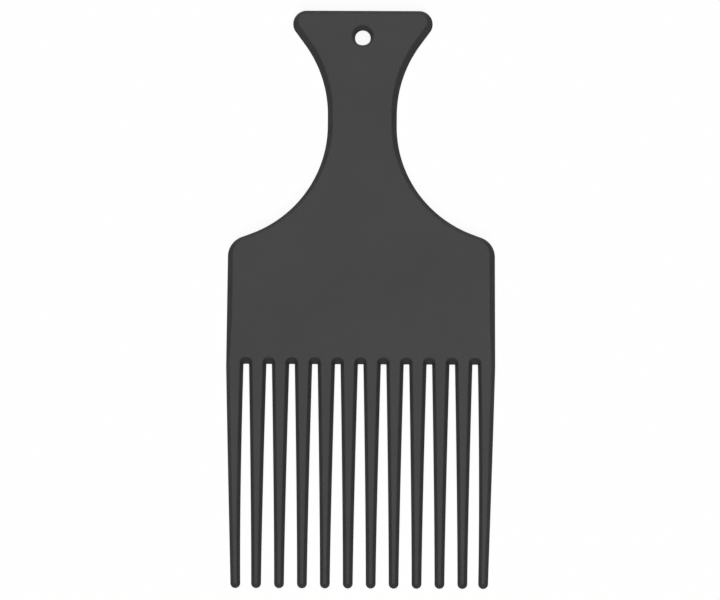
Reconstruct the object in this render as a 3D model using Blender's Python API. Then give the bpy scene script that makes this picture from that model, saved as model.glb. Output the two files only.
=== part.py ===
"""A wide-toothed lifting comb, moulded in one piece of plastic.

The comb lies on its flat back. +X runs across it, +Y runs from the tips of the teeth to the grip, and +Z comes out
of its front face. The origin is under the middle of its bounding box. Sizes are in metres.

Every zone is drawn twice: as its rim, the outline that the back face fills, and as the edge of its front face, which
lies inside the rim. An upright land stands on the rim, and a sloped edge leads from there up to the front face.
The moulding is divided on flat planes into its zones: the handle, the back and the teeth.
"""

import math

import bmesh
import bpy

# Along the comb
TOOTH_LENGTH = 0.0639
BACK_HEIGHT = 0.0348  # from the slot roots to the corners of the shoulders
SHOULDER_RISE = 0.0104
WAIST_RUN = 0.0372
GRIP_HEIGHT = 0.0187

# Across the comb
ROOT_WIDTH = 0.0755  # over the outer teeth, at their roots
SIDE_DRAFT = 0.0003  # each side leans in by this on its way up to the shoulder
WAIST_WIDTH = 0.0194
GRIP_WIDTH = 0.0465  # between the corners of the grip, before they are rounded

# Rounded corners
SHOULDER_RADIUS = 0.0059
SHOULDER_HOLLOW_RADIUS = 0.033
GRIP_HOLLOW_RADIUS = 0.0344
GRIP_CORNER_RADIUS = 0.0038
CORNER_LIMIT_SHARE = 0.96  # of a straight side, the most that the roundings at its two ends take
ARC_STEP = math.radians(7.5)

# Through the comb
THICKNESS = 0.0045
RIM_LAND = 0.0004  # the upright strip round the rim, where the mould parts
PLATE_SLOPE = 0.00142  # how far the sloped edge of the plate reaches in from the rim
TOOTH_SLOPE_WANTED = 0.00093
TOOTH_SLOPE_LIMIT_SHARE = 0.75  # of a tooth tip's radius
SLOPE_CHANGE_RUN = 0.014  # above the seam of the teeth, where the plate's slope narrows to theirs

# Teeth
TOOTH_COUNT = 12
TOOTH_ROOT_WIDTH = 0.00487
TOOTH_TIP_WIDTH = 0.00276
TOOTH_TIP_THICKNESS = 0.0027
TOOTH_TIP_SLOPE = 0.0008
TAPER_POWER = 1.33
TAPER_STEPS = 9
TIP_STEPS = 10
OUTER_TIP_LEAN = 0.0006  # how far the tips of the first and last tooth lean in
LEAN_POWER = 2

# Slot roots, between the teeth
SLOT_CORNER_RADIUS = 0.0002
SLOT_END_SLOPE = 0.00117  # how far the sloped edge reaches up at the end of a slot
SLOT_ARCH_SHARE = 0.9  # of half the width of a slot's mouth, the radius of its arch
SLOT_CORNER_STEPS = 4
SEAM_DROP = 0.0006  # the teeth are divided from the back this far below the slot roots

# Hanging hole
HOLE_DIAMETER = 0.0043  # at the back face, where it is narrowest
HOLE_DRAFT = 0.00068  # how far its wall leans out on its way to the front face
HOLE_MOUTH_RADIUS = 0.0009  # the rounding of its edge on the front face
HOLE_DROP = 0.0078  # from the top edge to the middle of the hole
HOLE_STEPS = 40
HOLE_MOUTH_STEPS = 4
CUTTER_OVERRUN = 0.001

# Finish
PLASTIC_TONE = 0.056  # neutral grey, linear
PLASTIC_ROUGHNESS = 0.75
SMOOTH_ANGLE = math.radians(30)  # faces that meet at less than this are shaded as one

# Worked out from the sizes above
OVERALL_LENGTH = TOOTH_LENGTH + BACK_HEIGHT + SHOULDER_RISE + WAIST_RUN + GRIP_HEIGHT
ROOT_Y = TOOTH_LENGTH - OVERALL_LENGTH / 2
SEAM_Y = ROOT_Y - SEAM_DROP
SHOULDER_Y = ROOT_Y + BACK_HEIGHT
WAIST_LOW_Y = SHOULDER_Y + SHOULDER_RISE
WAIST_HIGH_Y = WAIST_LOW_Y + WAIST_RUN
TOP_Y = WAIST_HIGH_Y + GRIP_HEIGHT
SHOULDER_X = ROOT_WIDTH / 2 - SIDE_DRAFT
PITCH = (ROOT_WIDTH - TOOTH_ROOT_WIDTH) / (TOOTH_COUNT - 1)
TOOTH_SLOPE = min(TOOTH_SLOPE_WANTED, TOOTH_SLOPE_LIMIT_SHARE * TOOTH_TIP_WIDTH / 2)


def clear_scene():
    for old in list(bpy.data.objects):
        bpy.data.objects.remove(old, do_unlink=True)


def comb_plastic():
    """Plastic in a dark neutral grey, with a low sheen."""
    material = bpy.data.materials.new("comb_plastic")
    material.use_nodes = True
    shader = material.node_tree.nodes["Principled BSDF"]
    shader.inputs["Base Color"].default_value = (PLASTIC_TONE, PLASTIC_TONE, PLASTIC_TONE, 1.0)
    shader.inputs["Roughness"].default_value = PLASTIC_ROUGHNESS
    shader.inputs["Metallic"].default_value = 0.0
    return material


def arc(centre, radius, start, sweep, steps):
    """Points of an arc, both ends included."""
    angles = [start + sweep * step / steps for step in range(steps + 1)]
    return [(centre[0] + radius * math.cos(a), centre[1] + radius * math.sin(a)) for a in angles]


def turn_at(corners, index):
    """The angle that a path turns through at a corner, positive to the left."""
    (ax, ay, _), (bx, by, _), (cx, cy, _) = corners[index - 1 : index + 2]
    turn = math.atan2(cy - by, cx - bx) - math.atan2(by - ay, bx - ax)
    return (turn + math.pi) % math.tau - math.pi


def corner_reaches(corners):
    """How far each corner's rounding runs along its two sides, shortened where a side is too short for both."""
    reaches = [0.0] * len(corners)
    for index in range(1, len(corners) - 1):
        reaches[index] = corners[index][2] * math.tan(abs(turn_at(corners, index)) / 2)
    fits = [1.0] * len(corners)
    for index in range(len(corners) - 1):
        side = math.dist(corners[index][:2], corners[index + 1][:2])
        wanted = reaches[index] + reaches[index + 1]
        fit = min(1.0, CORNER_LIMIT_SHARE * side / wanted)
        fits[index] = min(fits[index], fit)
        fits[index + 1] = min(fits[index + 1], fit)
    return [reach * fit for reach, fit in zip(reaches, fits)]


def rounded_corners(corners):
    """For each inner corner (x, y, radius) of a path, its rounding as (rim point, face point) pairs.

    The plate lies on the right of the path. A face point is its rim point moved in by the sloped edge, which for an
    arc is the same arc with its radius changed by that much.
    """
    reaches = corner_reaches(corners)
    roundings = []
    for index in range(1, len(corners) - 1):
        (ax, ay, _), (bx, by, _) = corners[index - 1 : index + 1]
        turn = turn_at(corners, index)
        heading = math.atan2(by - ay, bx - ax)
        side = math.copysign(1.0, turn)
        radius = reaches[index] / math.tan(abs(turn) / 2)
        start = heading - side * math.pi / 2
        centre = (
            bx - reaches[index] * math.cos(heading) - radius * math.cos(start),
            by - reaches[index] * math.sin(heading) - radius * math.sin(start),
        )
        steps = max(2, math.ceil(abs(turn) / ARC_STEP))
        rim = arc(centre, radius, start, turn, steps)
        face = arc(centre, radius + side * PLATE_SLOPE, start, turn, steps)
        roundings.append(list(zip(rim, face)))
    return roundings


def between(first, second, share):
    """The pair of points that lies a share of the way from one pair to another."""
    return tuple(tuple(p + (q - p) * share for p, q in zip(a, b)) for a, b in zip(first, second))


def mirrored(pairs):
    """The same stretch on the left side of the comb, in the order that carries on round it."""
    return [tuple((-x, y) for x, y in pair) for pair in reversed(pairs)]


def side_stretches():
    """The right side of the comb, from the top edge to the seam of the teeth, as one stretch for each zone.

    Both stretches hold the pair of points on the seam between the handle and the back.
    """
    grip_corner, grip_hollow, shoulder_hollow, shoulder = rounded_corners(
        [
            (0.0, TOP_Y, 0.0),
            (GRIP_WIDTH / 2, TOP_Y, GRIP_CORNER_RADIUS),
            (WAIST_WIDTH / 2, WAIST_HIGH_Y, GRIP_HOLLOW_RADIUS),
            (WAIST_WIDTH / 2, WAIST_LOW_Y, SHOULDER_HOLLOW_RADIUS),
            (SHOULDER_X, SHOULDER_Y, SHOULDER_RADIUS),
            (ROOT_WIDTH / 2, SEAM_Y, 0.0),
        ]
    )
    neck_seam = between(grip_hollow[-1], shoulder_hollow[0], 1 / 2)
    foot = ((ROOT_WIDTH / 2, SEAM_Y), (ROOT_WIDTH / 2 - PLATE_SLOPE, SEAM_Y))
    run = shoulder[-1][0][1] - SEAM_Y
    slope_change = between(foot, shoulder[-1], min(SLOPE_CHANGE_RUN / run, CORNER_LIMIT_SHARE))
    tooth_root = (foot[0], (ROOT_WIDTH / 2 - TOOTH_SLOPE, SEAM_Y))
    handle_side = grip_corner + grip_hollow + [neck_seam]
    back_side = [neck_seam] + shoulder_hollow + shoulder + [slope_change, tooth_root]
    return handle_side, back_side


def slot_root(middle):
    """One slot root of the back, from the tooth on its right to the tooth on its left.

    The rim is a square end with small corners. The face has a wider, taller end with an arch's round shoulders.
    """
    half_gap = (PITCH - TOOTH_ROOT_WIDTH) / 2
    half_mouth = half_gap + TOOTH_SLOPE
    rim_radius = min(SLOT_CORNER_RADIUS, CORNER_LIMIT_SHARE * min(half_gap, SEAM_DROP))
    face_radius = min(SLOT_ARCH_SHARE * half_mouth, CORNER_LIMIT_SHARE * (SLOT_END_SLOPE + SEAM_DROP))
    ends = []
    for half_width, top, radius in (
        (half_gap, ROOT_Y, rim_radius),
        (half_mouth, ROOT_Y + SLOT_END_SLOPE, face_radius),
    ):
        inner = half_width - radius
        right = arc((middle + inner, top - radius), radius, 0.0, math.pi / 2, SLOT_CORNER_STEPS)
        left = arc((middle - inner, top - radius), radius, math.pi / 2, math.pi / 2, SLOT_CORNER_STEPS)
        ends.append([(middle + half_width, SEAM_Y)] + right + left + [(middle - half_width, SEAM_Y)])
    return list(zip(*ends))


def lofted(name, rings, material):
    """A closed mesh through rings of as many points each, from the highest to the lowest, with both ends filled."""
    build = bmesh.new()
    loops = [[build.verts.new(point) for point in ring] for ring in rings]
    build.faces.new(loops[0])
    build.faces.new(loops[-1])
    for upper, lower in zip(loops, loops[1:]):
        for index in range(len(upper)):
            build.faces.new((upper[index - 1], upper[index], lower[index], lower[index - 1]))
    bmesh.ops.recalc_face_normals(build, faces=build.faces)
    mesh = bpy.data.meshes.new(name)
    build.to_mesh(mesh)
    build.free()
    mesh.shade_smooth()
    mesh.set_sharp_from_angle(angle=SMOOTH_ANGLE)
    mesh.materials.append(material)
    return mesh


def moulded(name, pairs, material, face_height=lambda y: THICKNESS):
    """The mesh of a zone, from its (rim point, face point) pairs and the height of its front face at a given y."""
    rings = [
        [(x, y, face_height(y)) for _, (x, y) in pairs],
        [(x, y, RIM_LAND) for (x, y), _ in pairs],
        [(x, y, 0.0) for (x, y), _ in pairs],
    ]
    return lofted(name, rings, material)


def placed(name, mesh, parent, x=0.0, y=0.0):
    item = bpy.data.objects.new(name, mesh)
    bpy.context.scene.collection.objects.link(item)
    item.parent = parent
    item.location = (x, y, 0.0)
    return item


def hole_cutter(comb, material):
    """A hole that widens from the back face to the front, as a tapered core pin leaves it, with a rounded mouth."""
    narrow = HOLE_DIAMETER / 2
    lean = math.atan2(HOLE_DRAFT, THICKNESS)
    mouth = narrow + HOLE_DRAFT + HOLE_MOUTH_RADIUS * math.tan((math.pi / 2 - lean) / 2)
    centre = (mouth, THICKNESS - HOLE_MOUTH_RADIUS)
    rounding = arc(centre, HOLE_MOUTH_RADIUS, math.pi / 2, math.pi / 2 - lean, HOLE_MOUTH_STEPS)
    levels = [
        (mouth, THICKNESS + CUTTER_OVERRUN),
        (mouth, THICKNESS),
        *rounding[1:],
        (narrow - CUTTER_OVERRUN * math.tan(lean), -CUTTER_OVERRUN),
    ]
    rings = []
    for radius, height in levels:
        circle = arc((0.0, 0.0), radius, 0.0, math.tau, HOLE_STEPS)[:-1]
        rings.append([(x, y, height) for x, y in circle])
    cutter = placed("hole_cutter", lofted("hole_cutter", rings, material), comb, y=TOP_Y - HOLE_DROP)
    cutter.hide_render = True
    cutter.display_type = "WIRE"
    return cutter


def make_handle(comb, side, material):
    """The flared grip and the upper half of the neck, with the hanging hole through the grip."""
    handle = placed("handle", moulded("handle", side + mirrored(side), material), comb)
    hole = handle.modifiers.new("hanging_hole", "BOOLEAN")
    hole.operation = "DIFFERENCE"
    hole.solver = "EXACT"
    hole.object = hole_cutter(comb, material)


def make_back(comb, side, material):
    """The plate with the shoulders, whose lower edge holds the slot roots and a short stub of each tooth."""
    pairs = list(side)
    for slot in range(TOOTH_COUNT - 1):
        pairs += slot_root(((TOOTH_COUNT - 2) / 2 - slot) * PITCH)
    pairs += mirrored(side)
    placed("back", moulded("back", pairs, material), comb)


def tooth_side(slope, tip_slope, lean):
    """One outline of a tooth that hangs down from y = 0, drawn in from the rim by the slopes of its sides and tip."""
    tip_radius = TOOTH_TIP_WIDTH / 2
    straight = TOOTH_LENGTH - SEAM_DROP - tip_radius
    right = []
    left = []
    for step in range(TAPER_STEPS + 1):
        share = step / TAPER_STEPS
        taper = (TOOTH_ROOT_WIDTH / 2 - tip_radius) * (1 - share) ** TAPER_POWER
        half_width = tip_radius + taper - slope
        middle = lean * share**LEAN_POWER
        y = -(straight + slope - tip_slope) * share
        right.append((middle + half_width, y))
        left.append((middle - half_width, y))
    tip = arc((lean, y), tip_radius - slope, 0.0, -math.pi, TIP_STEPS)
    return right + tip[1:-1] + left[::-1]


def tooth_mesh(name, lean, material):
    """A tooth whose tip leans to +X, thinning from the plate's thickness at its root to that of its tip."""
    pairs = list(zip(tooth_side(0.0, 0.0, lean), tooth_side(TOOTH_SLOPE, TOOTH_TIP_SLOPE, lean)))
    thinning = (THICKNESS - TOOTH_TIP_THICKNESS) / (TOOTH_LENGTH - SEAM_DROP)
    return moulded(name, pairs, material, lambda y: THICKNESS + thinning * y)


def make_teeth(comb, material):
    """Twelve teeth, numbered from the left. The first and the last lean in towards the others."""
    inner = tooth_mesh("inner_tooth", 0.0, material)
    first = tooth_mesh("first_tooth", OUTER_TIP_LEAN, material)
    last = tooth_mesh("last_tooth", -OUTER_TIP_LEAN, material)
    meshes = [first] + [inner] * (TOOTH_COUNT - 2) + [last]
    for number, mesh in enumerate(meshes):
        x = (number - (TOOTH_COUNT - 1) / 2) * PITCH
        placed(f"tooth_{number + 1:02d}", mesh, comb, x, SEAM_Y)


def main():
    clear_scene()
    plastic = comb_plastic()
    comb = placed("comb", None, None)
    handle_side, back_side = side_stretches()
    make_handle(comb, handle_side, plastic)
    make_back(comb, back_side, plastic)
    make_teeth(comb, plastic)


main()
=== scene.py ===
import math

import bpy
import bmesh
import numpy as np
from mathutils import Matrix, Vector


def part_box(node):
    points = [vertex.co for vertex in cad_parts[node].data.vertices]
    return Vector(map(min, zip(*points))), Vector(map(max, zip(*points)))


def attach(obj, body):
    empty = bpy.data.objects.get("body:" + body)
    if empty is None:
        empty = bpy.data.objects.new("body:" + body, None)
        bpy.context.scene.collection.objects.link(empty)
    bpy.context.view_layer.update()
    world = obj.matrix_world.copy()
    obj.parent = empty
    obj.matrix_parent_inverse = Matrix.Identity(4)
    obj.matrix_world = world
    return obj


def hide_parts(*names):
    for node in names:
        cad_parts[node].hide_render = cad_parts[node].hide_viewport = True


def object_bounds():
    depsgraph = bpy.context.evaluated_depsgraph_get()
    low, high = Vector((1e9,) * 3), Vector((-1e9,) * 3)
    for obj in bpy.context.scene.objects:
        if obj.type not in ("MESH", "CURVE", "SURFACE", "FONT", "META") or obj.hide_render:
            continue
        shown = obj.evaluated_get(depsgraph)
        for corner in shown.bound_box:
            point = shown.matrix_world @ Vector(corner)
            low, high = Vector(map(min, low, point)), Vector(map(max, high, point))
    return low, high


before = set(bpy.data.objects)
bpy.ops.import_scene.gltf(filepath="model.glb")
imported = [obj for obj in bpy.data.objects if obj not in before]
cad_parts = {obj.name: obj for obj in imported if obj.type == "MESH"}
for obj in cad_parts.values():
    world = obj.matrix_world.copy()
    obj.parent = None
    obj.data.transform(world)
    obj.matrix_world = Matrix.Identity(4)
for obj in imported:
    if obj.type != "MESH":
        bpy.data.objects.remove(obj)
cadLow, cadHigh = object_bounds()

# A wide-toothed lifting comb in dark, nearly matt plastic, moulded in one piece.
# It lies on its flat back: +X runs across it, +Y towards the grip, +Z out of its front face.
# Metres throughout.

print("frame loaded, with", len(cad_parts), "nodes")

backLow, backHigh = (np.array(corner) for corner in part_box("back"))
handleLow, handleHigh = (np.array(corner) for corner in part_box("handle"))
toothNames = sorted(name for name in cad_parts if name.startswith("tooth_"))
thickness = float(backHigh[2])  # of the plate
seamY = float(backLow[1])  # where the teeth leave the back
neckSeamY = float(handleLow[1])  # where the handle leaves the back
topY = float(handleHigh[1])


# The edge that runs all round the moulding

rimEdge = {
    "land": 0.0004,  # upright strip between the flat back and the sloped edge
    "backRadius": 0.00014,  # rounding at the foot of the land
    "landRadius": 0.0005,  # rounding from the land to the slope
    "frontRadius": 0.00046,  # rounding from the slope to the front face
    "frontShare": 0.86,  # of half a narrow face, the most that a front rounding takes
    "plateSlope": 0.00142,  # how far the slope reaches in on the plate
    "toothSlope": 0.00093,  # and on the teeth
    "support": 0.00005,  # narrow flat strip beside a rounding, which keeps the shading of what follows flat
    "backSteps": 4,
    "landSteps": 3,
    "frontSteps": 8,
}


# The section of the edge: for every outline point, a column of points from the front face to the flat back.
# inward is the unit direction from the rim to the face, slope how far the slope reaches in, and height that
# of the face. Each rounding is an arc tangent to both its sides: it starts radius * tan(turn / 2) before the
# corner, and its points are that corner's circle at equal angles.
def edgeColumns(rim, inward, slope, height, halfFace):
    count = len(rim)
    land = rimEdge["land"]
    rise = height - land
    lean = np.arctan2(slope, rise)  # of the slope, from upright
    turn = np.pi / 2 - lean  # from the slope to the face
    radius = np.minimum(rimEdge["frontRadius"], rimEdge["frontShare"] * halfFace / np.tan(turn / 2))
    reach = radius * np.tan(turn / 2)
    support = np.minimum(rimEdge["support"], (1 - rimEdge["frontShare"]) * halfFace / 2)

    angles = np.linspace(0, 1, rimEdge["frontSteps"] + 1)[None, :] * turn[:, None]
    frontInset = (slope + reach)[:, None] - radius[:, None] * np.sin(angles)
    frontHeight = (height - radius)[:, None] + radius[:, None] * np.cos(angles)

    landRadius = rimEdge["landRadius"]
    landReach = landRadius * np.tan(lean / 2)
    angles = np.linspace(0, 1, rimEdge["landSteps"] + 1)[None, :] * lean[:, None]
    landInset = landRadius * (1 - np.cos(lean[:, None] - angles))
    landHeight = (land - landReach)[:, None] + landRadius * np.sin(lean[:, None] - angles)

    backRadius = rimEdge["backRadius"]
    angles = np.linspace(0, np.pi / 2, rimEdge["backSteps"] + 1)[None, :] + np.zeros((count, 1))
    backInset = backRadius * (1 - np.cos(angles))
    backHeight = backRadius * (1 - np.sin(angles))

    down = np.stack([-np.sin(lean), -np.cos(lean)], 1)  # one step down the slope, as (inset, height)
    afterFront = np.stack([frontInset[:, -1], frontHeight[:, -1]], 1) + down * rimEdge["support"]
    beforeLand = np.stack([landInset[:, 0], landHeight[:, 0]], 1) - down * rimEdge["support"]
    inset = np.concatenate([
        frontInset[:, :1] + support[:, None], frontInset, afterFront[:, :1],
        beforeLand[:, :1], landInset, backInset, backInset[:, -1:] + rimEdge["support"],
    ], 1)
    level = np.concatenate([
        frontHeight[:, :1], frontHeight, afterFront[:, 1:],
        beforeLand[:, 1:], landHeight, backHeight, backHeight[:, -1:],
    ], 1)
    plan = rim[:, None, :] + inward[:, None, :] * inset[:, :, None]
    return np.concatenate([plan, level[:, :, None]], 2)


# Quads from each column of a grid of vertex numbers to the next one round the loop, where joined says so.
def gridQuads(numbers, joined):
    nextOne = np.roll(numbers, -1, axis=0)
    quads = np.stack([numbers[:, :-1], numbers[:, 1:], nextOne[:, 1:], nextOne[:, :-1]], 2)
    return quads[joined].reshape(-1, 4).tolist()


sharpAngle = math.radians(40)  # faces that meet at less than this are shaded as one


# A closed mesh with its faces turned outwards, from points and faces.
def makePiece(name, points, faces, material):
    mesh = bpy.data.meshes.new(name)
    mesh.from_pydata(np.asarray(points).reshape(-1, 3).tolist(), [], faces)
    shell = bmesh.new()
    shell.from_mesh(mesh)
    bmesh.ops.recalc_face_normals(shell, faces=shell.faces)
    shell.to_mesh(mesh)
    shell.free()
    mesh.shade_smooth()
    mesh.set_sharp_from_angle(angle=sharpAngle)
    mesh.materials.append(material)
    piece = bpy.data.objects.new(name, mesh)
    bpy.context.scene.collection.objects.link(piece)
    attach(piece, "root")
    return piece


# The faces of a zone from its grid of columns: quads along the edge, one flat cap for each seam that the
# outline crosses, and unless something else fills them the flat front and back.
def zoneFaces(shape, seams, filled=True):
    numbers = np.arange(shape[0] * shape[1]).reshape(shape[:2])
    faces = gridQuads(numbers, ~seams)
    for last in np.flatnonzero(seams):
        first = (last + 1) % shape[0]
        faces.append(numbers[last].tolist() + numbers[first, ::-1].tolist())
    if filled:
        faces.append(numbers[:, 0].tolist())
        faces.append(numbers[::-1, -1].tolist())
    return faces, numbers


# The finish

plasticFinish = {
    "tone": 0.0572,  # neutral grey, linear
    "cloudShare": 0.035,  # slow drift of the tone over the moulding
    "cloudScale": 38.0,
    "cloudDetail": 2.0,
    "speckShare": 0.05,  # pigment, from speck to speck
    "speckScale": 5200.0,
    "speckDetail": 1.0,
    "grainScale": 3400.0,  # the mould's fine grain, about 0.3 mm from crest to crest
    "grainDetail": 2.0,
    "grainDepth": 0.000016,
    "grainStrength": 0.22,
    "rippleScale": 210.0,  # very shallow unevenness of a moulded plate
    "rippleDetail": 1.0,
    "rippleDepth": 0.00006,
    "rippleStrength": 0.06,
    "roughLow": 0.7,
    "roughHigh": 0.8,
    "roughDetail": 3.0,
    "specular": 0.05,
    "layerFade": 0.5,  # of each finer layer of a noise, against the one before it
    "noiseLow": 0.3,  # nearly all of a noise lies between these two
    "noiseHigh": 0.7,
}


# Adds a node and sets its inputs by name.
def addNode(tree, kind, **inputs):
    node = tree.nodes.new(kind)
    for name, value in inputs.items():
        node.inputs[name].default_value = value
    return node


# Noise on the comb's own coordinates.
def plainNoise(tree, coordinates, scale, detail):
    fade = plasticFinish["layerFade"]
    noise = addNode(tree, "ShaderNodeTexNoise", Scale=scale, Detail=detail, Roughness=fade)
    tree.links.new(coordinates, noise.inputs["Vector"])
    return noise.outputs["Fac"]


# A noise stretched evenly, so that nearly all of it lies from low to high and the rest is held there.
def spreadNoise(tree, noise, low, high):
    f = plasticFinish
    spread = tree.nodes.new("ShaderNodeMapRange")
    ends = (("From Min", f["noiseLow"]), ("From Max", f["noiseHigh"]), ("To Min", low), ("To Max", high))
    for socket, value in ends:
        spread.inputs[socket].default_value = value
    tree.links.new(noise, spread.inputs["Value"])
    return spread.outputs["Result"]


# Nearly matt plastic: a tone that drifts slowly and varies from speck to speck, uneven roughness, and the
# mould's grain over a very shallow ripple as bump.
def makePlastic():
    f = plasticFinish
    material = bpy.data.materials.new("combPlastic")
    material.use_nodes = True
    tree = material.node_tree
    links = tree.links
    shader = tree.nodes["Principled BSDF"]
    where = tree.nodes.new("ShaderNodeTexCoord").outputs["Object"]

    cloudNoise = plainNoise(tree, where, f["cloudScale"], f["cloudDetail"])
    cloud = spreadNoise(tree, cloudNoise, 1 - f["cloudShare"], 1 + f["cloudShare"])
    speckNoise = plainNoise(tree, where, f["speckScale"], f["speckDetail"])
    speck = spreadNoise(tree, speckNoise, 1 - f["speckShare"], 1 + f["speckShare"])
    shade = tree.nodes.new("ShaderNodeMath")
    shade.operation = "MULTIPLY"
    links.new(cloud, shade.inputs[0])
    links.new(speck, shade.inputs[1])
    tone = tree.nodes.new("ShaderNodeMath")
    tone.operation = "MULTIPLY"
    tone.inputs[1].default_value = f["tone"]
    links.new(shade.outputs[0], tone.inputs[0])
    colour = tree.nodes.new("ShaderNodeCombineColor")
    for channel in ("Red", "Green", "Blue"):
        links.new(tone.outputs[0], colour.inputs[channel])
    links.new(colour.outputs["Color"], shader.inputs["Base Color"])

    roughNoise = plainNoise(tree, where, f["rippleScale"], f["roughDetail"])
    rough = spreadNoise(tree, roughNoise, f["roughLow"], f["roughHigh"])
    links.new(rough, shader.inputs["Roughness"])
    shader.inputs["Specular IOR Level"].default_value = f["specular"]

    grainNoise = plainNoise(tree, where, f["grainScale"], f["grainDetail"])
    rippleNoise = plainNoise(tree, where, f["rippleScale"], f["rippleDetail"])
    ripple = addNode(tree, "ShaderNodeBump", Strength=f["rippleStrength"], Distance=f["rippleDepth"])
    grain = addNode(tree, "ShaderNodeBump", Strength=f["grainStrength"], Distance=f["grainDepth"])
    links.new(rippleNoise, ripple.inputs["Height"])
    links.new(grainNoise, grain.inputs["Height"])
    links.new(ripple.outputs["Normal"], grain.inputs["Normal"])
    links.new(grain.outputs["Normal"], shader.inputs["Normal"])
    return material


combPlastic = makePlastic()
print("plastic mixed")


# The outline of the plate

plate = {
    "backHeight": 0.0348,  # from the slot roots to the corners of the shoulders
    "shoulderRise": 0.0104,
    "waistRun": 0.0372,
    "sideDraft": 0.0003,
    "waistWidth": 0.0194,
    "gripWidth": 0.0465,  # between the grip's corners, before they are rounded
    "gripCornerRadius": 0.0038,
    "gripHollowRadius": 0.0344,
    "shoulderHollowRadius": 0.033,
    "shoulderRadius": 0.0059,
    "slopeChangeRun": 0.014,  # above the teeth, where the plate's slope narrows to theirs
    "slopeChangeSteps": 12,
    "arcStep": math.radians(1.5),
    "seamDrop": 0.0006,  # from the slot roots down to the seam of the teeth
}
rootWidth = float(backHigh[0] - backLow[0])
rootY = seamY + plate["seamDrop"]
shoulderY = rootY + plate["backHeight"]
waistLowY = shoulderY + plate["shoulderRise"]
waistHighY = waistLowY + plate["waistRun"]


# A rounded corner of the outline: an arc tangent to both its sides, from radius * tan(turn / 2) before the
# corner, and at each of its points the direction in from the rim, which is along the radius.
def roundCorner(before, corner, after, radius):
    before, corner, after = (np.array(point) for point in (before, corner, after))
    heading = math.atan2(*(corner - before)[::-1])
    turn = (math.atan2(*(after - corner)[::-1]) - heading + math.pi) % math.tau - math.pi
    side = math.copysign(1.0, turn)
    start = heading - side * math.pi / 2
    ahead = np.array([math.cos(heading), math.sin(heading)])
    outward = np.array([math.cos(start), math.sin(start)])  # from the centre to where the arc starts
    centre = corner - ahead * radius * math.tan(abs(turn) / 2) - radius * outward
    angles = start + turn * np.linspace(0, 1, math.ceil(abs(turn) / plate["arcStep"]) + 1)
    radial = np.stack([np.cos(angles), np.sin(angles)], 1)
    return centre + radius * radial, side * radial


# The right side of the comb, down from the grip's corner to the seam of the teeth. The plate is on its right.
def rightSide():
    halfRoot = rootWidth / 2
    corners = [
        (0.0, topY),
        (plate["gripWidth"] / 2, topY),
        (plate["waistWidth"] / 2, waistHighY),
        (plate["waistWidth"] / 2, waistLowY),
        (halfRoot - plate["sideDraft"], shoulderY),
        (halfRoot, seamY),
    ]
    keys = ("gripCornerRadius", "gripHollowRadius", "shoulderHollowRadius", "shoulderRadius")
    return [roundCorner(*corners[i:i + 3], plate[key]) for i, key in enumerate(keys)]


# A stretch of outline mirrored to the left side, in the order that carries on round the comb.
def mirrorStretch(rim, inward, *rest):
    flip = np.array([-1.0, 1.0])
    return (rim[::-1] * flip, inward[::-1] * flip, *(values[::-1] for values in rest))


gripCorner, gripHollow, shoulderHollow, shoulder = rightSide()
leftward = np.array([-1.0, 0.0])  # straight in from the right side
neckPoint = (np.array([[plate["waistWidth"] / 2, neckSeamY]]), leftward[None, :])
wideFace = 1.0  # half the width of a face, where it is far wider than its roundings


# The hanging hole, which widens from the back face to a rounded mouth in the front face

hangingHole = {
    "diameter": 0.0043,  # at the back face
    "draft": 0.00068,  # how far its wall leans out on its way to the front face
    "mouthRadius": 0.0009,
    "mouthSteps": 14,
    "drop": 0.0078,  # from the top edge to its middle
    "round": 96,  # points round it
}


# The wall of the hole: a section of (distance from the axis, height) turned round the axis. It is a straight
# line between two arcs tangent to it, one to the front face and one to the back face.
def holeWall():
    h = hangingHole
    narrow, mouthRadius = h["diameter"] / 2, h["mouthRadius"]
    footRadius, support = rimEdge["backRadius"], rimEdge["support"]
    lean = math.atan2(h["draft"], thickness)  # of the wall, from the axis
    angles = np.linspace(math.pi / 2, math.pi - lean, h["mouthSteps"] + 1)
    mouthOut = narrow + h["draft"] + mouthRadius * (math.tan((math.pi / 2 - lean) / 2) + np.cos(angles))
    mouthUp = thickness - mouthRadius * (1 - np.sin(angles))
    angles = np.linspace(math.pi - lean, math.pi * 3 / 2, rimEdge["backSteps"] + 1)
    footOut = narrow + footRadius * (math.tan((math.pi / 2 + lean) / 2) + np.cos(angles))
    footUp = footRadius * (1 + np.sin(angles))
    stepOut, stepUp = support * math.sin(lean), support * math.cos(lean)
    out = np.concatenate([
        [mouthOut[0] + support], mouthOut, [mouthOut[-1] - stepOut],
        [footOut[0] + stepOut], footOut, [footOut[-1] + support],
    ])
    up = np.concatenate([[thickness], mouthUp, [mouthUp[-1] - stepUp], [footUp[0] + stepUp], footUp, [0.0]])
    around = np.arange(h["round"]) * math.tau / h["round"]
    x = out[None, :] * np.cos(around)[:, None]
    y = out[None, :] * np.sin(around)[:, None] + topY - h["drop"]
    return np.stack([x, y, np.broadcast_to(up, x.shape)], 2)


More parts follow.
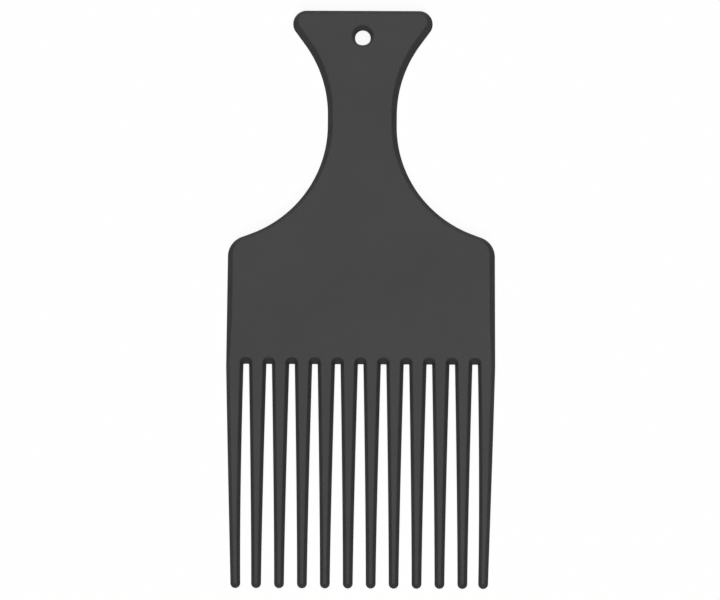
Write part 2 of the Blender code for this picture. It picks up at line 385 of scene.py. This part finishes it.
# The handle: its outline from the grip's right corner down to the neck's seam, and up the left side. Its
# front and back are each filled in two parts, above and below a line through the middle of the hole.
def makeHandle():
    rim, inward = (np.concatenate(parts) for parts in zip(gripCorner, gripHollow, neckPoint))
    sideCount = len(rim)
    rim, inward = (np.concatenate(parts) for parts in zip((rim, inward), mirrorStretch(rim, inward)))
    full = np.ones(len(rim))
    columns = edgeColumns(rim, inward, full * rimEdge["plateSlope"], full * thickness, full * wideFace)
    seams = np.zeros(len(rim), bool)
    seams[sideCount - 1] = True
    faces, numbers = zoneFaces(columns.shape, seams, filled=False)
    wall = holeWall()
    wallNumbers = np.arange(wall.shape[0] * wall.shape[1]).reshape(wall.shape[:2]) + numbers.size
    faces += gridQuads(wallNumbers, np.ones(len(wall), bool))
    holeY = topY - hangingHole["drop"]
    right = int(np.argmin(np.abs(rim[:sideCount, 1] - holeY)))
    left = len(rim) - 1 - right
    half = len(wall) // 2
    for ring, holeRing in ((numbers[:, 0], wallNumbers[:, 0]), (numbers[:, -1], wallNumbers[:, -1])):
        above = ring[left:].tolist() + ring[:right + 1].tolist() + holeRing[:half + 1].tolist()
        below = ring[right:left + 1].tolist() + holeRing[half:].tolist() + holeRing[:1].tolist()
        faces += [above, below]
    points = np.concatenate([columns.reshape(-1, 3), wall.reshape(-1, 3)])
    piece = makePiece("handleSkin", points, faces, combPlastic)
    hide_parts("handle")


makeHandle()
print("handle made")


# The teeth

teeth = {
    "tipWidth": 0.00276,
    "tipThickness": 0.0027,
    "tipSlope": 0.0008,
    "taperPower": 1.33,
    "leanPower": 2.0,
    "outerLean": 0.0006,  # how far the tips of the first and the last lean in
    "rootWidth": 0.00487,
    "rows": 40,
    "tipSteps": 28,
}
tipY = float(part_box(toothNames[0])[0][1])
toothLength = seamY - tipY
toothPitch = (rootWidth - teeth["rootWidth"]) / (len(toothNames) - 1)


# A tooth's outline, down its right side, round its tip and up its left side, drawn in from the rim by slope
# and by tipSlope at its tip, and half its width at each point. That half is tip radius + (root half - tip
# radius) * (1 - share) ^ taper power - slope, with share from 0 at the root to 1 where the round of the tip
# starts. The middle of the tooth moves over by lean * share ^ lean power.
def toothOutline(middle, lean, slope, tipSlope):
    t = teeth
    tipRadius = t["tipWidth"] / 2
    share = np.linspace(0, 1, t["rows"] + 1)
    half = tipRadius + (t["rootWidth"] / 2 - tipRadius) * (1 - share) ** t["taperPower"] - slope
    centre = middle + lean * share ** t["leanPower"]
    y = seamY - (toothLength - tipRadius + slope - tipSlope) * share
    angles = -np.linspace(0, np.pi, t["tipSteps"] + 1)[1:-1]
    roundX = centre[-1] + (tipRadius - slope) * np.cos(angles)
    roundY = y[-1] + (tipRadius - slope) * np.sin(angles)
    x = np.concatenate([centre + half, roundX, (centre - half)[::-1]])
    outline = np.stack([x, np.concatenate([y, roundY, y[::-1]])], 1)
    return outline, np.concatenate([half, np.full(len(angles), half[-1]), half[::-1]])


# One tooth: its face falls evenly from the plate's thickness at the seam to the tip's thickness.
def makeTooth(index):
    middle = (index - (len(toothNames) - 1) / 2) * toothPitch
    lean = teeth["outerLean"] * ((index == 0) - (index == len(toothNames) - 1))
    rim, _ = toothOutline(middle, lean, 0.0, 0.0)
    face, halfFace = toothOutline(middle, lean, rimEdge["toothSlope"], teeth["tipSlope"])
    reach = np.linalg.norm(face - rim, axis=1)
    inward = (face - rim) / reach[:, None]
    thinning = (thickness - teeth["tipThickness"]) / toothLength
    height = thickness + thinning * (face[:, 1] - seamY)
    columns = edgeColumns(rim, inward, reach, height, halfFace)
    seams = np.zeros(len(rim), bool)
    seams[-1] = True
    faces, _ = zoneFaces(columns.shape, seams)
    piece = makePiece(f"toothSkin{index + 1:02d}", columns, faces, combPlastic)
    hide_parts(toothNames[index])


for toothIndex in range(len(toothNames)):
    makeTooth(toothIndex)
print("teeth made")


# The slot roots, between the teeth

slotRoot = {
    "cornerRadius": 0.0002,
    "endSlope": 0.00117,  # how far the sloped edge reaches up at the end of a slot
    "archShare": 0.9,  # of half the width of a slot's mouth, the radius of its arch
    "steps": 10,
}


# One end of a slot: up its right side, over two quarter circles and down its left side.
def slotEnd(middle, halfWidth, top, radius):
    quarter = np.linspace(0, np.pi / 2, slotRoot["steps"] + 1)
    rightX = middle + halfWidth - radius + radius * np.cos(quarter)
    upY = top - radius + radius * np.sin(quarter)
    x = np.concatenate([[middle + halfWidth], rightX, 2 * middle - rightX[::-1], [middle - halfWidth]])
    y = np.concatenate([[seamY], upY, upY[::-1], [seamY]])
    return np.stack([x, y], 1)


# The back: the right side from the neck, eleven slot roots from right to left, and the left side back up.
# The slope narrows from the plate's to the teeth's by a smooth step, drop ^ 2 * (3 - 2 * drop).
def makeBack():
    foot = np.array([rootWidth / 2, seamY])
    drop = np.linspace(0, 1, plate["slopeChangeSteps"] + 1)
    lastPoint, lastInward = shoulder[0][-1], shoulder[1][-1]
    share = (seamY + plate["slopeChangeRun"] - lastPoint[1]) / (seamY - lastPoint[1])
    start = lastPoint + (foot - lastPoint) * share
    changeRim = start + (foot - start) * drop[:, None]
    changeInward = lastInward + (leftward - lastInward) * drop[:, None]
    easing = drop ** 2 * (3 - 2 * drop)
    changeSlope = rimEdge["plateSlope"] + (rimEdge["toothSlope"] - rimEdge["plateSlope"]) * easing
    rim, inward = (np.concatenate(parts) for parts in zip(neckPoint, shoulderHollow, shoulder))
    slope = np.concatenate([np.full(len(rim), rimEdge["plateSlope"]), changeSlope])
    rim = np.concatenate([rim, changeRim])
    inward = np.concatenate([inward, changeInward])

    halfGap = (toothPitch - teeth["rootWidth"]) / 2
    halfMouth = halfGap + rimEdge["toothSlope"]
    stretches = [(rim, inward, slope)]
    for slot in range(len(toothNames) - 1):
        middle = ((len(toothNames) - 2) / 2 - slot) * toothPitch
        rimEnd = slotEnd(middle, halfGap, rootY, slotRoot["cornerRadius"])
        faceEnd = slotEnd(middle, halfMouth, rootY + slotRoot["endSlope"], slotRoot["archShare"] * halfMouth)
        reach = np.linalg.norm(faceEnd - rimEnd, axis=1)
        stretches.append((rimEnd, (faceEnd - rimEnd) / reach[:, None], reach))
    stretches.append(mirrorStretch(rim, inward, slope))
    ends = np.cumsum([len(part[0]) for part in stretches]) - 1
    rim, inward, slope = (np.concatenate(parts) for parts in zip(*stretches))
    full = np.ones(len(rim))
    columns = edgeColumns(rim, inward, slope, full * thickness, full * wideFace)
    seams = np.zeros(len(rim), bool)
    seams[ends] = True
    faces, _ = zoneFaces(columns.shape, seams)
    piece = makePiece("backSkin", columns, faces, combPlastic)
    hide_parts("back")


makeBack()
print("back made")


# The floor under the comb

studioFloor = {
    "half": 6.0,  # of its side
    "gap": 0.00002,  # below the comb's back
    "tone": 0.93,  # to a straight look
    "bounceTone": 0.2,  # what it throws back on the comb, as a darker table does
    "whiteShare": 0.88,  # of plain white in a straight look at it, over its lit colour and the shadow
}


# One where the camera, a mirror or glass looks, and otherwise zero.
def plainLook(tree):
    path = tree.nodes.new("ShaderNodeLightPath")
    total = path.outputs["Is Camera Ray"]
    for kind in ("Is Glossy Ray", "Is Transmission Ray"):
        more = tree.nodes.new("ShaderNodeMath")
        more.operation = "MAXIMUM"
        tree.links.new(total, more.inputs[0])
        tree.links.new(path.outputs[kind], more.inputs[1])
        total = more.outputs[0]
    return total


# A flat square just under the comb. A straight look at it mixes plain white over its lit colour, and to all
# other light it is bounceTone.
def makeFloor():
    half, level = studioFloor["half"], float(cadLow[2]) - studioFloor["gap"]
    mesh = bpy.data.meshes.new("studioFloor")
    corners = [(-half, -half, level), (half, -half, level), (half, half, level), (-half, half, level)]
    mesh.from_pydata(corners, [], [(0, 1, 2, 3)])
    material = bpy.data.materials.new("studioFloor")
    material.use_nodes = True
    tree = material.node_tree
    tree.nodes.remove(tree.nodes["Principled BSDF"])
    look = plainLook(tree)
    tone = tree.nodes.new("ShaderNodeMapRange")
    tone.inputs["To Min"].default_value = studioFloor["bounceTone"]
    tone.inputs["To Max"].default_value = studioFloor["tone"]
    tree.links.new(look, tone.inputs["Value"])
    matt = tree.nodes.new("ShaderNodeBsdfDiffuse")
    tree.links.new(tone.outputs["Result"], matt.inputs["Color"])
    white = addNode(tree, "ShaderNodeEmission", Strength=1.0)
    share = tree.nodes.new("ShaderNodeMath")
    share.operation = "MULTIPLY"
    share.inputs[1].default_value = studioFloor["whiteShare"]
    tree.links.new(look, share.inputs[0])
    mix = tree.nodes.new("ShaderNodeMixShader")
    tree.links.new(share.outputs[0], mix.inputs["Fac"])
    tree.links.new(matt.outputs[0], mix.inputs[1])
    tree.links.new(white.outputs[0], mix.inputs[2])
    tree.links.new(mix.outputs[0], tree.nodes["Material Output"].inputs["Surface"])
    mesh.materials.append(material)
    floor = bpy.data.objects.new("studioFloor", mesh)
    bpy.context.scene.collection.objects.link(floor)


makeFloor()
print("floor laid")


# Soft studio light

studioLight = {
    "roomTone": 0.02,  # the room around, as the comb sees it
    "angle": 40.0,  # how wide each lamp looks from the comb
    "gripStrength": 1.76,  # the lamp on the grip's side
    "gripAzimuth": 90.0,  # from +X, anticlockwise seen from above
    "gripElevation": 70.0,
    "tipStrength": 1.82,  # the lamp on the side of the tips
    "tipAzimuth": 270.0,
    "tipElevation": 55.0,
}


# A far, wide lamp that shines from an azimuth and an elevation, in degrees.
def makeLamp(name, strength, azimuth, elevation):
    lamp = bpy.data.lights.new(name, "SUN")
    lamp.energy = strength
    lamp.angle = math.radians(studioLight["angle"])
    item = bpy.data.objects.new(name, lamp)
    a, e = math.radians(azimuth), math.radians(elevation)
    towards = Vector((math.cos(a) * math.cos(e), math.sin(a) * math.cos(e), math.sin(e)))
    item.rotation_mode = "QUATERNION"
    item.rotation_quaternion = towards.to_track_quat("Z", "Y")
    bpy.context.scene.collection.objects.link(item)


# The two lamps, and a room that is plain white to a straight look and roomTone to the comb's matt surface.
def makeLight():
    s = studioLight
    makeLamp("gripLamp", s["gripStrength"], s["gripAzimuth"], s["gripElevation"])
    makeLamp("tipLamp", s["tipStrength"], s["tipAzimuth"], s["tipElevation"])
    world = bpy.data.worlds.new("studioRoom")
    bpy.context.scene.world = world
    world.use_nodes = True
    tree = world.node_tree
    room = tree.nodes["Background"]
    room.inputs["Color"].default_value = (1.0, 1.0, 1.0, 1.0)
    room.inputs["Strength"].default_value = s["roomTone"]
    white = addNode(tree, "ShaderNodeBackground", Color=(1.0, 1.0, 1.0, 1.0), Strength=1.0)
    mix = tree.nodes.new("ShaderNodeMixShader")
    tree.links.new(plainLook(tree), mix.inputs["Fac"])
    tree.links.new(room.outputs[0], mix.inputs[1])
    tree.links.new(white.outputs[0], mix.inputs[2])
    tree.links.new(mix.outputs[0], tree.nodes["World Output"].inputs["Surface"])


makeLight()
print("lamps hung")


# The camera, at the photograph's angle

shot = {
    "pitch": -10.8,  # degrees that the comb's length is turned away from the picture
    "yaw": -0.8,
    "roll": -0.23,
    "pixelsPerMetre": 3563.0,
    "middleX": 361.12,  # where the middle of the comb's back falls in the picture
    "middleY": 299.3,
    "width": 720,
    "height": 600,
    "lens": 1400.0,  # a far camera, as the photograph hardly converges
    "sensor": 36.0,
    "clipNear": 0.01,  # of the camera's distance
    "clipFar": 10.0,
}


# The picture's right, up and back directions are the rows of roll * yaw * pitch, and the camera stands back
# from the comb's middle by lens * width / (sensor * pixels per metre). The lens is shifted by what the middle
# is off centre.
def makeCamera():
    s = shot
    turn = (Matrix.Rotation(math.radians(s["roll"]), 3, "Z")
            @ Matrix.Rotation(math.radians(s["yaw"]), 3, "Y")
            @ Matrix.Rotation(math.radians(s["pitch"]), 3, "X"))
    away = s["lens"] * s["width"] / (s["sensor"] * s["pixelsPerMetre"])
    camera = bpy.data.cameras.new("shotCamera")
    camera.lens = s["lens"]
    camera.sensor_width = s["sensor"]
    camera.shift_x = (s["width"] / 2 - s["middleX"]) / s["width"]
    camera.shift_y = (s["middleY"] - s["height"] / 2) / s["width"]
    camera.clip_start = away * s["clipNear"]
    camera.clip_end = away * s["clipFar"]
    item = bpy.data.objects.new("shotCamera", camera)
    item.matrix_world = Matrix.Translation(turn[2] * away) @ turn.transposed().to_4x4()
    bpy.context.scene.collection.objects.link(item)
    bpy.context.scene.camera = item


makeCamera()
bpy.context.scene.view_settings.view_transform = "Standard"
print("camera set")
